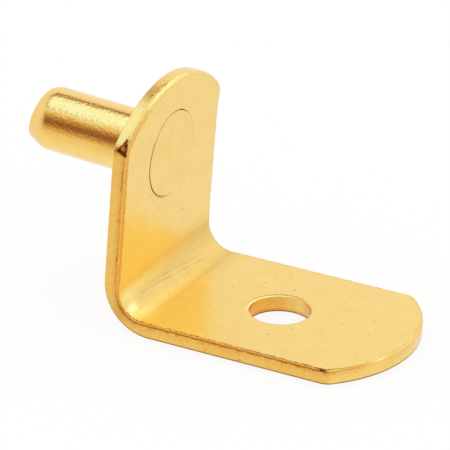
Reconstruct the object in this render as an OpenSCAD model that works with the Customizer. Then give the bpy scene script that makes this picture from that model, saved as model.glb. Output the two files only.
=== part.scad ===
// Shelf support pin: a folded plate with a peg riveted through its wall leg.
// Units are millimetres. The seat leg lies level, the wall leg stands at its -X end,
// and the origin is on the peg's axis, at the face that bears on the cabinet side.

/* [Plate] */
// Width of the plate, along Y
plate_w = 14.7; // [12:0.1:16.8]
// Thickness of the sheet
plate_t = 1.15; // [1:0.05:1.8]
// Length of the seat leg, from the heel where the two outer faces would meet
seat_len = 22.25; // [20:0.25:32]
// Length of the wall leg, from the same heel
wall_len = 18.2; // [17:0.1:26]
// Radius of the arc that cuts both free ends
end_r = 9.8; // [8.5:0.1:12]

/* [Bend] */
// Angle between the two legs, closed a little past square so that a loaded shelf sits level
bend_angle = 86.6; // [84:0.1:90]
// Radius of the bend's inner face
bend_r_in = 2.1; // [1.2:0.1:3]
// Radius of the bend's outer face, larger than inner radius and sheet because the bend is drawn thin
bend_r_out = 3.8; // [2.8:0.1:4.4]
// How far the forming punch sets the bend below the flats, which leaves a fine line on each side of it
punch_set = 0.02; // [0.01:0.01:0.05]

/* [Blanked edges] */
// Radius of the die roll along the two long edges, on the inner faces
edge_roll = 0.35; // [0.1:0.05:0.6]
// Radius of the die roll along the arc ends, which are cut more crisply
arc_roll = 0.2; // [0.05:0.05:0.4]
// Radius in plan of the four free corners
corner_r = 1.2; // [0.6:0.1:1.5]

/* [Struck corner] */
// How far down the sheet's edge the struck corner of the wall leg reaches
struck_drop = 0.9; // [0.3:0.05:1]
// How far it runs along the wall leg's arc
struck_arc = 1.5; // [0.8:0.1:2]
// How far it runs down the wall leg's side
struck_side = 0.4; // [0.2:0.05:0.8]

/* [Screw hole] */
// Diameter of the screw hole
hole_d = 4.4; // [3:0.1:5.5]
// Distance of the screw hole from the heel
hole_from_heel = 11.4; // [10:0.1:14]
// Radius of the die roll round the hole's upper rim
hole_roll = 0.5; // [0.2:0.05:0.6]

/* [Peg] */
// Diameter of the peg
peg_d = 5; // [4.5:0.05:6.35]
// Length of the peg from the wall face to the middle of its cut end
peg_len = 10.05; // [8:0.05:14]
// Height of the peg's axis above the heel, along the wall leg
peg_from_heel = 12.05; // [11:0.05:14]
// Length of the cone at the peg's tip
tip_len = 0.9; // [0.5:0.05:1.5]
// Half angle of the cone at the peg's tip
tip_angle = 25; // [15:1:40]
// Radius of the soft shoulder between the shank and that cone
tip_round = 1.5; // [0.5:0.1:2]
// Slant of the sheared end face from square
shear_angle = 10.8; // [0:0.1:14]
// Turn of that slant about the peg's axis
shear_turn = 20; // [0:1:90]

/* [Riveted end] */
// Diameter of the neck that passes through the plate, which leaves a shoulder outside it
neck_d = 4; // [3:0.05:4.2]
// Depth to which riveting beds the shoulder into the wall face
shoulder_bed = 0.1; // [0.05:0.01:0.15]
// Diameter of the head that the neck is riveted into, flush with the inner face
head_d = 6.75; // [6.5:0.05:8.5]
// Thickness of the head
head_t = 0.6; // [0.4:0.05:0.8]
// Small round on the head's rim
head_round = 0.08; // [0.02:0.01:0.15]
// Radial gap round the head in its seat, seen as a fine circle
head_gap = 0.05; // [0.02:0.01:0.1]
// Radial gap round the neck and the shoulder in the plate
neck_gap = 0.02; // [0.01:0.01:0.05]

/* [Hidden] */

half_angle = bend_angle / 2;
fold = 180 - bend_angle;
// Angle by which the bend runs on inside each leg
bend_lap = 3;
// Distance of an end's sharp corners past the centre of its arc
corner_at = sqrt(pow(end_r, 2) - pow(plate_w / 2, 2));
// Centre of a corner's round, a hair outward so that the round crosses the side and the arc cleanly
corner_in = corner_r - 0.005;
round_at = [sqrt(pow(end_r - corner_in, 2) - pow(plate_w / 2 - corner_in, 2)), plate_w / 2 - corner_in];
// Stock left outside the faces before the outer faces are cut to shape
spare = bend_r_out;
// Overrun of a cutting tool past the face that it cuts
past = 1;
// Centre of the bend's inner and outer faces, measured from the heel
centre_in = [(bend_r_in + plate_t) / tan(half_angle), bend_r_in + plate_t];
centre_out = [bend_r_out / tan(half_angle), bend_r_out];
// Unit vectors along the wall leg and out of its wall face
along_wall = [cos(bend_angle), sin(bend_angle)];
out_of_wall = [-sin(bend_angle), cos(bend_angle)];
// Where the peg's axis leaves the wall face, measured from the heel
peg_root = peg_from_heel * along_wall;
// The trimmed outline reaches well past both tips
reach = seat_len + wall_len;
shank_r = peg_d / 2;
neck_r = neck_d / 2;
head_r = head_d / 2;
// The cone runs on past the slanted cut
tip_over = tan(shear_angle) * shank_r + past / 2;

$fn = 96;

// From the heel's frame to the part's own frame
module from_heel() translate([-peg_root[0], 0, -peg_root[1]]) children();

// A leg is drawn lying along +X with its outer face on z = 0; the wall leg is its mirror image in the
// plane that halves the bend
module as_wall_leg() mirror([-sin(half_angle), 0, cos(half_angle)]) children();

// A quarter disc of radius r that rounds the corner at p, with its centre towards -X -Y
module round_corner(p, r)
    difference() {
        translate(p - [r, r]) square(r + past);
        translate(p - [r, r]) circle(r);
    }

// Section across the strip, set in by the given amount: inner face up, both of its edges rolled
module strip_section(inset = 0) {
    half_w = plate_w / 2 - inset;
    top = plate_t - inset;
    difference() {
        translate([-half_w, -spare]) square([2 * half_w, top + spare]);
        for (side = [0, 1])
            mirror([side, 0]) round_corner([half_w, top], edge_roll);
    }
}

module strip(from, to)
    translate([from, 0, 0])
        rotate([90, 0, 90]) linear_extrude(to - from) strip_section();

// Disc whose rim is the arc end, with its own finer roll
module end_disc()
    rotate_extrude() difference() {
        translate([0, -spare]) square([end_r, plate_t + spare]);
        round_corner([end_r, plate_t], arc_roll);
    }

// What a round takes off the +Y corner of an end
module corner_waste() {
    to_side = 2 * corner_r * [0, 1];
    to_arc = 2 * corner_r * round_at / norm(round_at);
    translate([0, 0, -past])
        linear_extrude(plate_t + 2 * past)
            difference() {
                polygon([round_at, round_at + to_arc, round_at + to_arc + to_side, round_at + to_side]);
                translate(round_at) circle(corner_r);
            }
}

// Everything above the flat that a blow left on the -Y corner: a plane through one point on each of
// the three edges that met there
module struck_waste() {
    along_arc = [plate_w / 2, corner_at] / end_r;
    facing = [
        struck_drop * struck_arc * along_arc[1],
        -struck_drop * (struck_arc * along_arc[0] + struck_side),
        struck_side * struck_arc * along_arc[1]
    ];
    translate([corner_at, -plate_w / 2, plate_t - struck_drop])
        rotate([0, acos(facing[2] / norm(facing)), atan2(facing[1], facing[0])])
            translate([-plate_t, -plate_t, 0] * 2) cube(4 * plate_t);
}

// One leg, from the bend to its arc end
module leg(len) {
    arc_at = len - end_r;
    difference() {
        union() {
            strip(centre_in[0], arc_at + corner_at / 2);
            intersection() {
                strip(arc_at + corner_at / 2, len + past);
                translate([arc_at, 0, 0]) end_disc();
            }
        }
        for (side = [0, 1])
            translate([arc_at, 0, 0]) mirror([0, side, 0]) corner_waste();
    }
}

// The bend: the same section swept about the inner centre, and lapped into both legs
module bend()
    translate([centre_in[0], 0, centre_in[1]])
        rotate([90, 0, 0]) rotate([0, 0, 90 + bend_angle - bend_lap])
            rotate_extrude(angle = fold + 2 * bend_lap)
                translate([bend_r_in + plate_t, 0]) rotate(90) strip_section(punch_set);

// Everything inside the two outer faces and their rounded heel
module inside_outer_faces()
    rotate([90, 0, 0])
        linear_extrude(plate_w + 2 * past, center = true)
            union() {
                polygon([
                    [centre_out[0], 0],
                    [reach, 0],
                    [reach, 0] + reach * along_wall,
                    reach * along_wall,
                    centre_out + bend_r_out * out_of_wall,
                    centre_out
                ]);
                translate(centre_out) circle(bend_r_out);
            }

module folded_plate()
    intersection() {
        union() {
            leg(seat_len);
            bend();
            as_wall_leg() difference() {
                leg(wall_len);
                translate([wall_len - end_r, 0, 0]) struck_waste();
            }
        }
        inside_outer_faces();
    }

// Screw hole with its rolled upper rim
module screw_hole()
    translate([hole_from_heel, 0, 0])
        rotate_extrude()
            difference() {
                translate([0, -past]) square([hole_d / 2 + hole_roll, plate_t + 2 * past]);
                translate([hole_d / 2 + hole_roll, plate_t - hole_roll]) circle(hole_roll);
                translate([hole_d / 2, -2 * past])
                    square([hole_roll + past, plate_t - hole_roll + 2 * past]);
            }

// Hole for the neck, with the shoulder's bed in the wall face and the head's seat in the inner face
module peg_seat() {
    cylinder(h = 2 * plate_t + 2 * past, r = neck_r + neck_gap, center = true);
    translate([0, 0, -shoulder_bed])
        cylinder(h = shoulder_bed + past, r = shank_r + neck_gap);
    translate([0, 0, -plate_t - past])
        cylinder(h = head_t + past, r = head_r + head_gap);
}

// Peg's own frame: axis along +Z, wall face on z = 0, head at -Z
module on_peg_axis() rotate([0, -bend_angle, 0]) children();

module bracket()
    color("gold") difference() {
        from_heel() difference() {
            folded_plate();
            screw_hole();
        }
        on_peg_axis() peg_seat();
    }

// What the soft shoulder takes off the corner between shank and cone
module tip_waste() {
    middle = [shank_r - tip_round, peg_len - tip_len - tip_round * tan(tip_angle / 2)];
    out = 2 * tip_round * [1, 0];
    out_of_cone = 2 * tip_round * [cos(tip_angle), sin(tip_angle)];
    difference() {
        polygon([middle, middle + out, middle + out + out_of_cone, middle + out_of_cone]);
        translate(middle) circle(tip_round);
    }
}

// Half section of the peg: flush head, neck, shoulder, shank and cone
module peg_profile()
    difference() {
        polygon([
            [0, -plate_t],
            [head_r, -plate_t],
            [head_r, -plate_t + head_t],
            [neck_r, -plate_t + head_t],
            [neck_r, -shoulder_bed],
            [shank_r, -shoulder_bed],
            [shank_r, peg_len - tip_len],
            [shank_r - tan(tip_angle) * (tip_len + tip_over), peg_len + tip_over],
            [0, peg_len + tip_over]
        ]);
        translate([0, -plate_t]) mirror([0, 1]) round_corner([head_r, 0], head_round);
        tip_waste();
    }

module peg()
    color("gold") on_peg_axis()
        difference() {
            rotate_extrude() peg_profile();
            translate([0, 0, peg_len])
                rotate([0, 0, shear_turn]) rotate([0, shear_angle, 0])
                    translate([-peg_d, -peg_d, 0]) cube([2 * peg_d, 2 * peg_d, 2 * tip_over + past]);
        }

bracket();
peg();
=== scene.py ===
import math

import bmesh
import bpy
import numpy as np
from mathutils import Matrix


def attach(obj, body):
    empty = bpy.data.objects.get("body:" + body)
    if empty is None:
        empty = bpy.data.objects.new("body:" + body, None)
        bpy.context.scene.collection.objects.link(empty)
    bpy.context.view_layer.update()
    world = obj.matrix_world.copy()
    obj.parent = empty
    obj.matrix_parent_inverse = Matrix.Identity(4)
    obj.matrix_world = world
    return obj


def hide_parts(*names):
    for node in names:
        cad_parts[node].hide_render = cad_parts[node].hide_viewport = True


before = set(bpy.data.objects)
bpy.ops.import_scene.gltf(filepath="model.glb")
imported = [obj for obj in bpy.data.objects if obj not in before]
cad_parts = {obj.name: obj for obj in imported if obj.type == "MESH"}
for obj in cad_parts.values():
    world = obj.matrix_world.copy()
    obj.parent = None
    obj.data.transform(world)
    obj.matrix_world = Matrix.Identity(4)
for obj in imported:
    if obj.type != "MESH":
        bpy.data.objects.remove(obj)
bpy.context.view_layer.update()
mm = 0.001
hair = 0.01                              # mm, a tolerance
weld = 1e-5                              # mm, points nearer than this are one
wellInside = 9.0                         # mm, more than any distance from an edge that matters


def linear(hexColour):
    # sRGB hex to linear RGBA
    parts = [int(hexColour[i:i + 2], 16) / 255 for i in (1, 3, 5)]
    return [c / 12.92 if c <= 0.04045 else ((c + 0.055) / 1.055) ** 2.4 for c in parts] + [1.0]


def addNode(tree, kind, settings=None, links=None):
    # one node, its settings, and its inputs as plain values or as other nodes' sockets
    node = tree.nodes.new(kind)
    for name, value in (settings or {}).items():
        setattr(node, name, value)
    for socket, value in (links or {}).items():
        if isinstance(value, bpy.types.NodeSocket):
            tree.links.new(value, node.inputs[socket])
        else:
            node.inputs[socket].default_value = value
    return node


def shaderTree(name):
    # a material with an empty tree
    material = bpy.data.materials.new(name)
    material.use_nodes = True
    material.node_tree.nodes.clear()
    return material, material.node_tree


def shapeTree(name, asked):
    # a geometry tree with named inputs; a modifier finds them by their identifiers
    tree = bpy.data.node_groups.new(name, "GeometryNodeTree")
    tree.interface.new_socket("Geometry", in_out="INPUT", socket_type="NodeSocketGeometry")
    sockets = {}
    for key, (title, kind) in asked.items():
        socket = tree.interface.new_socket(title, in_out="INPUT", socket_type="NodeSocket" + kind)
        sockets[key] = socket.identifier
    tree.interface.new_socket("Geometry", in_out="OUTPUT", socket_type="NodeSocketGeometry")
    inputs = addNode(tree, "NodeGroupInput").outputs
    return tree, sockets, inputs[0], {key: inputs[title] for key, (title, kind) in asked.items()}


def endTree(tree, geometry, material):
    real = addNode(tree, "GeometryNodeRealizeInstances", None, {0: geometry})
    painted = addNode(tree, "GeometryNodeSetMaterial", None, {
        "Geometry": real.outputs[0], "Material": material})
    addNode(tree, "NodeGroupOutput", None, {0: painted.outputs[0]})


camera = {
    "place": (123.967, -226.643, 114.329),                 # mm
    "right": (0.8821, 0.4706, 0.0201),
    "forward": (-0.41899, 0.80346, -0.42291),
    "lens": 298.88, "sensor": 36,                          # mm
    "clip": (0.01, 50),                                    # m
}


def placeCamera(c):
    # squares the two directions to each other, and looks along the second
    data = bpy.data.cameras.new("camera")
    data.sensor_width = c["sensor"]
    data.lens = c["lens"]
    data.clip_start, data.clip_end = c["clip"]
    obj = bpy.data.objects.new("camera", data)
    bpy.context.scene.collection.objects.link(obj)
    forward = np.array(c["forward"]) / np.linalg.norm(c["forward"])
    right = np.array(c["right"]) - np.dot(c["right"], forward) * forward
    right /= np.linalg.norm(right)
    turn = np.array([right, np.cross(right, forward), -forward]).T
    obj.matrix_world = Matrix.Translation([x * mm for x in c["place"]]) @ Matrix(turn.tolist()).to_4x4()
    bpy.context.scene.camera = obj


placeCamera(camera)
print("camera placed")


# the folded plate, in mm: u runs along the blank from the middle of the bend, v across it
plate = {
    "width": 14.7, "thickness": 1.15,
    "seatLength": 22.25, "wallLength": 18.2, "endRadius": 9.8, "cornerRadius": 1.2,
    "bendAngle": 86.6, "bendRadiusIn": 2.1, "bendRadiusOut": 3.8,
    "punchSet": 0.02, "punchFade": 0.5,                    # the punch set the bend below the flats
    # die roll of the long edges, leg by leg, and the places along u between which it changes
    "wallRoll": 0.38, "bendRoll": 0.2, "seatRoll": 0.19,
    "wallRollFrom": (1.0, 3.2), "seatRollFrom": (1.0, 3.0),
    # die roll of the arcs, and the places across v between which it changes
    "arcRoll": 0.14, "wallArcRoll": 0.3, "cornerRoll": 0.38,
    "wallArcFrom": (-1.5, 1.2), "cornerFrom": (6.2, 7.2),
    # the long edges' roll fades out this far before the back corners, and by so much later at the front
    "fadeBefore": 1.6, "fadeFront": 1.3, "fadeFrom": (-2, 2), "fadeLength": 1.1,
    # waves in the size of the roll, along the seat leg and the wall leg's arc: share, rate, phase
    "edgeWaves": [(0.16, 5.1, 0.7), (0.12, 8.3, 0)], "arcWaves": [(0.17, 6.3, 0.4), (0.15, 8.9, 0)],
    "wavesFrom": (1.5, 3),
    "tornArc": 0.8, "tornFrom": (3.4, 5.0),                # the arcs are torn as well towards the front
    # a soft swelling at the front end of the fold: its start, top and end along the blank, then inward
    "swelling": (-2.0, 0.8, 2.3), "swellingFront": (0.3, 1.8, 4.6), "swellingHeight": 0.15,
    # the wall leg's arc was cut this far off the middle, in full past places along u and round the head
    "wallSkew": 0.12, "skewFrom": (3, 9.8), "skewPastHead": (3.7, 5.5),
    # the struck corner: a plane across three edges, and the rim of its painted dark reflection as ways
    # round the outline and depths
    "struckDrop": 0.9, "struckArc": 1.5, "struckSide": 0.4,
    "struckRim": [(0.02, 0.05), (0.35, 0.85), (1.45, 0.36)], "struckSoft": 0.14, "struckBase": 0.2,
    # a painted dark crescent of reflection on the seat leg's front corner: place, half its length, its
    # middle stage, falls, share
    "darkCrescentAt": 0.12, "darkCrescentHalf": 0.5, "darkCrescentStage": -0.35, "darkCrescentFall": 1.6, "darkCrescentStageFall": 1.3,
    "darkCrescentShare": 0.5,
    "frontPart": -5.5,                                     # both corners lie in front of this v
    "burrRound": 0.05,
    # the screw hole, dished above and drawn down below
    "holeRadius": 2.39, "holeFromHeel": 11.35,
    "holeDish": 0.2, "holeDishDepth": 0.06, "holeBurr": 0.2, "holeBurrWidth": 0.25,
    "pegFromHeel": 12.05, "headSeatRadius": 3.365, "headSeatDepth": 0.6, "headRoll": 0.09,
    # gap round the riveted head: degrees from straight across, turning up the leg, and mm
    "headGap": [(50, 0.008), (72, 0.05), (88, 0.02), (105, 0.01), (122, 0.02), (150, 0.07), (180, 0.07),
                (212, 0.06), (232, 0.02), (255, 0.008)],
    "nick": (-3.38, -0.75), "nickSize": (0.3, 0.35), "nickRoll": 0.09,   # in the rim of the head's seat
    "neckHoleRadius": 2.02, "shoulderBedRadius": 2.52, "shoulderBed": 0.1,
    # what the plating reads: stages to a mm inward of the die roll, up to this far in
    "faceStages": 4, "inwardMost": 2,
    # the mesh: steps in from an edge in mm, down the cut and out from a hole as shares, and counts
    "edgeSteps": [0, 0.008, 0.025, 0.05, 0.085, 0.125, 0.17, 0.22, 0.275, 0.35, 0.43, 0.52, 0.62, 0.75],
    "cutSteps": (0.08, 0.3, 0.5, 0.7, 0.88, 0.96),
    "ringSteps": [0, 0.02, 0.07, 0.15, 0.26, 0.4, 0.58, 0.78, 1], "ringsBetween": 8, "headRingReach": 4,
    "blockHalf": 4.3, "blockSteps": 32, "sideSteps": 9, "nearSteps": 12, "bendSteps": 57,
    "rowGap": 0.4, "rimGap": 0.02, "bendMark": 0.04,
    "sharpAngle": 38,
}


def plateStations(p):
    # lengths along the inner face, from the middle of the bend, and the middles of the corner rounds
    half = math.radians(p["bendAngle"]) / 2
    fold = math.pi - 2 * half
    flatIn = (p["bendRadiusIn"] + p["thickness"]) / math.tan(half)   # where the inner flats end
    flatOut = p["bendRadiusOut"] / math.tan(half)
    arcHalf = p["bendRadiusIn"] * fold / 2
    toBlank = arcHalf - flatIn
    roundY = p["width"] / 2 - p["cornerRadius"]
    return {
        "arcHalf": arcHalf, "zoneHalf": arcHalf + flatOut - flatIn,
        "wallArc": -(p["wallLength"] - p["endRadius"] + toBlank),
        "seatArc": p["seatLength"] - p["endRadius"] + toBlank,
        "head": -(p["pegFromHeel"] + toBlank),
        "hole": p["holeFromHeel"] + toBlank,
        "cornerAt": math.sqrt(p["endRadius"] ** 2 - p["width"] ** 2 / 4),
        "roundAt": (math.sqrt((p["endRadius"] - p["cornerRadius"]) ** 2 - roundY ** 2), roundY),
    }


def arcEnd(p, s, v):
    # how far past the arc's middle the outline lies, at a place across the plate
    x, y = s["roundAt"]
    v = np.minimum(np.abs(v), p["width"] / 2)
    onArc = np.sqrt(p["endRadius"] ** 2 - v ** 2)
    onRound = x + np.sqrt(np.maximum(p["cornerRadius"] ** 2 - np.maximum(v - y, 0) ** 2, 0))
    return np.where(v > y * p["endRadius"] / (p["endRadius"] - p["cornerRadius"]), onRound, onArc)


def ease(value, start, end):
    t = np.clip((value - start) / (end - start), 0, 1)
    return t * t * (3 - 2 * t)


def rollDrop(distance, radius):
    # how far a quarter-round edge has fallen at a distance in from its wall
    d = np.clip(distance, 0, radius)
    return radius - np.sqrt(np.maximum(radius ** 2 - (radius - d) ** 2, 0))


def waves(parts, along):
    return sum(size * np.sin(rate * along + phase) for size, rate, phase in parts)


def edgeFields(p, s, u, v):
    # distance in from the outline, the die roll's size there, and 1 along the long edges
    side = p["width"] / 2 - np.abs(v)
    outward = np.where(u > 0, u - s["seatArc"], s["wallArc"] - u)
    arc = np.where(outward > 0, p["endRadius"] - np.hypot(outward, v), wellInside)
    x, y = s["roundAt"]
    dx, dy = outward - x, np.abs(v) - y
    inCorner = (dx > 0) & (x * dy > y * dx)
    distance = np.where(inCorner, p["cornerRadius"] - np.hypot(dx, dy), np.minimum(side, arc))
    # the long edges' roll fades early at the back corners and runs into the front ones
    start = s["cornerAt"] - p["fadeBefore"] + p["fadeFront"] * ease(-v, *p["fadeFrom"])
    onArc = ease(outward, start, start + p["fadeLength"])
    seatArc = p["arcRoll"] + (p["cornerRoll"] - p["arcRoll"]) * ease(-v, *p["cornerFrom"])
    wallArc = p["arcRoll"] + (p["wallArcRoll"] - p["arcRoll"]) * ease(-v, *p["wallArcFrom"])
    along = p["bendRoll"] + (p["wallRoll"] - p["bendRoll"]) * ease(-u, *p["wallRollFrom"])
    along = along + (p["seatRoll"] - p["bendRoll"]) * ease(u, *p["seatRollFrom"])
    roll = along * (1 - onArc) + np.where(u > 0, seatArc, wallArc) * onArc
    wander = waves(p["edgeWaves"], u) * ease(u, *p["wavesFrom"])
    wander += waves(p["arcWaves"], v) * onArc * (u < 0)
    roll = roll * (1 + wander)
    # how much an edge looks like the long ones, torn in two steps
    torn = np.maximum(1 - onArc, p["tornArc"] * ease(-v, *p["tornFrom"]))
    return distance, roll, torn


def headSeat(p, s, u, v):
    # radius of the head's seat in a direction from its middle
    way = np.degrees(np.arctan2(s["head"] - u, v))
    ways, gaps = zip(*p["headGap"])
    return p["headSeatRadius"] + np.interp(way, ways, gaps, period=360)


def faceDrop(p, s, u, v, upper):
    # how far below the flat a face lies at each point of the blank
    distance, roll, _ = edgeFields(p, s, u, v)
    hole = np.hypot(u - s["hole"], v) - p["holeRadius"]
    if not upper:
        bed = np.hypot(u - s["head"], v) - p["shoulderBedRadius"]
        burr = p["holeBurr"] * np.clip(1 - hole / p["holeBurrWidth"], 0, 1) ** 2
        return np.max([rollDrop(d, p["burrRound"]) for d in (distance, hole, bed)], axis=0) - burr
    # struck corner: a plane through one point on each of the three edges that met there
    tangent = p["width"] / 2 / p["endRadius"], s["cornerAt"] / p["endRadius"]
    alongArc = (v + p["width"] / 2) / tangent[1]
    downSide = alongArc * tangent[0] - (s["wallArc"] - u - s["cornerAt"])
    struck = p["struckDrop"] * (1 - downSide / p["struckSide"] - alongArc / p["struckArc"])
    struck = np.where((u < 0) & (v < p["frontPart"]), np.maximum(struck, 0), 0)
    seat = np.hypot(u - s["head"], v) - headSeat(p, s, u, v)
    bendEnd, fade = -s["arcHalf"], p["punchFade"]
    punched = p["punchSet"] * ease(-np.abs(u), bendEnd - fade, bendEnd + fade)
    (start, top, end), (near, crest, far) = p["swelling"], p["swellingFront"]
    front = v + p["width"] / 2
    swell = ease(u, start, top) * (1 - ease(u, top, end))
    swell = swell * ease(front, near, crest) * (1 - ease(front, crest, far))
    punched = punched - p["swellingHeight"] * swell
    (nickU, nickV), (nickLong, nickWide) = p["nick"], p["nickSize"]
    fromNick = ((u - s["head"] - nickU) / nickLong) ** 2, ((v - nickV) / nickWide) ** 2
    nick = p["nickRoll"] * np.exp(-fromNick[0] - fromNick[1])
    dish = p["holeDishDepth"] * np.clip(1 - hole / p["holeDish"], 0, 1) ** 2
    rolls = [rollDrop(distance, roll), struck, dish, rollDrop(seat, p["headRoll"] + nick)]
    return np.max(rolls, axis=0) + punched


def struckField(p, s, u, v, depth):
    # 1 inside the struck corner's flat, where dark reflection is painted: a triangle over the way round
    # the outline and the depth
    past = s["wallArc"] - u - s["roundAt"][0]
    way = np.where(past > 0, np.hypot(past, v + p["width"] / 2), past)
    rim = p["struckRim"]
    inside = np.full(len(u), wellInside)
    for (x0, y0), (x1, y1) in zip(rim, rim[1:] + rim[:1]):
        off = ((x1 - x0) * (depth - y0) - (y1 - y0) * (way - x0)) / math.hypot(x1 - x0, y1 - y0)
        inside = np.minimum(inside, -off)
    inside = np.clip(inside / p["struckSoft"] + p["struckBase"], 0, 1)
    return np.where((u < 0) & (v < p["frontPart"]), inside, 0)


def darkCrescentField(p, s, u, v, stage):
    # the same on the seat's front corner, where dark reflection is painted on the die roll only
    along = (u - s["seatArc"] - s["roundAt"][0] - p["darkCrescentAt"]) / p["darkCrescentHalf"]
    inside = p["darkCrescentFall"] - p["darkCrescentFall"] * np.abs(along)
    inside = inside - p["darkCrescentStageFall"] * np.abs(stage - p["darkCrescentStage"])
    return np.where(v < p["frontPart"], p["darkCrescentShare"] * np.clip(inside, 0, 1), 0)


def blankFace(p, s, upper):
    # a grid of quads over one face, with a round block of rings about each of its two holes
    b, n, halfWidth = p["blockHalf"], p["blockSteps"], p["width"] / 2
    outer = [halfWidth - d for d in p["edgeSteps"]]
    outer += list(np.linspace(outer[-1], b, p["sideSteps"])[1:-1])
    cols = np.array([-x for x in outer] + list(np.linspace(-b, b, n + 1)) + outer[::-1])
    left = len(outer)                                   # the column at -b

    def leg(arcAt, centre):
        # rows from the bend out to the arc; those past the block lean with the outline
        tip = arcAt + float(arcEnd(p, s, b))
        near = list(np.linspace(s["zoneHalf"], centre - b, p["nearSteps"])[:-1])
        rims = [tip - d for d in p["edgeSteps"] if tip - d > centre + b + p["rimGap"]][::-1]
        farSteps = max(2, int((rims[0] - centre - b) / p["rowGap"]) + 1)
        far = list(np.linspace(centre + b, rims[0], farSteps)[1:-1])
        base = np.array(near + list(np.linspace(centre - b, centre + b, n + 1)) + far + rims)
        rows = np.zeros((len(base), len(cols)))
        for j, v in enumerate(cols):
            fixed = centre + b if abs(v) < b - weld else centre - b
            moved = fixed + (base - fixed) * (arcAt + float(arcEnd(p, s, v)) - fixed) / (tip - fixed)
            rows[:, j] = np.where(base > fixed, moved, base)
        return rows, len(near)

    wallRows, wallFirst = leg(-s["wallArc"], -s["head"])
    seatRows, seatFirst = leg(s["seatArc"], s["hole"])
    marks = {side * (s["arcHalf"] + off) for off in (-p["bendMark"], p["bendMark"]) for side in (-1, 1)}
    even = np.linspace(-s["zoneHalf"], s["zoneHalf"], p["bendSteps"])[1:-1]
    bendRows = sorted(set(np.round(even, 6)) | marks)
    bendGrid = np.repeat(np.array(bendRows)[:, None], len(cols), axis=1)
    gridU = np.vstack([-wallRows[::-1], bendGrid, seatRows])
    gridV = np.repeat(cols[None, :], len(gridU), axis=0)
    ids = np.arange(gridU.size).reshape(gridU.shape)
    wallBlock = len(wallRows) - 1 - wallFirst - n       # first row of each block
    seatBlock = len(wallRows) + len(bendRows) + seatFirst
    plain = np.ones(gridU.shape, bool)                  # quads that belong to no block
    for first in (wallBlock, seatBlock):
        plain[first:first + n, left:left + n] = False
    quads = [(ids[i, j], ids[i, j + 1], ids[i + 1, j + 1], ids[i + 1, j])
             for i in range(len(gridU) - 1) for j in range(len(cols) - 1) if plain[i, j]]
    points = [np.column_stack([gridU.ravel(), gridV.ravel()])]
    count = gridU.size
    rings = {}
    wallRound = p["headSeatRadius"], p["headRingReach"] * p["headRoll"]
    if not upper:
        wallRound = p["shoulderBedRadius"], p["burrRound"]
    seatRound = p["holeRadius"], p["holeDish"] if upper else p["burrRound"]
    for name, first, centre, (radius, roll) in (("head", wallBlock, s["head"], wallRound),
                                                ("hole", seatBlock, s["hole"], seatRound)):
        last, right = first + n, left + n
        square = [ids[first, left + k] for k in range(n)] + [ids[first + k, right] for k in range(n)]
        square += [ids[last, right - k] for k in range(n)] + [ids[last - k, left] for k in range(n)]
        ring = points[0][square] - [centre, 0]
        unit = ring / np.linalg.norm(ring, axis=1)[:, None]
        if upper and name == "head":
            radius = headSeat(p, s, ring[:, 0] + centre, ring[:, 1])[:, None]
        circles = [(radius + roll * step) * unit for step in p["ringSteps"]]
        circles += [circles[-1] * (1 - share) + ring * share
                    for share in np.linspace(0, 1, p["ringsBetween"])[1:-1]]
        loops = []
        for c in circles:
            points.append(c + [centre, 0])
            loops.append(list(range(count, count + len(c))))
            count += len(c)
        loops.append(square)
        for a, c in zip(loops, loops[1:]):
            quads += [(a[k - 1], a[k], c[k], c[k - 1]) for k in range(len(a))]
        rings[name] = loops[0]
    rings["outline"] = [*ids[0, :-1], *ids[:-1, -1], *ids[-1, :0:-1], *ids[:0:-1, 0]]
    used = sorted({k for q in quads for k in q})
    renum = {k: i for i, k in enumerate(used)}
    rings = {name: [renum[k] for k in loop] for name, loop in rings.items()}
    return np.vstack(points)[used], [tuple(renum[k] for k in q) for q in quads], rings


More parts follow.
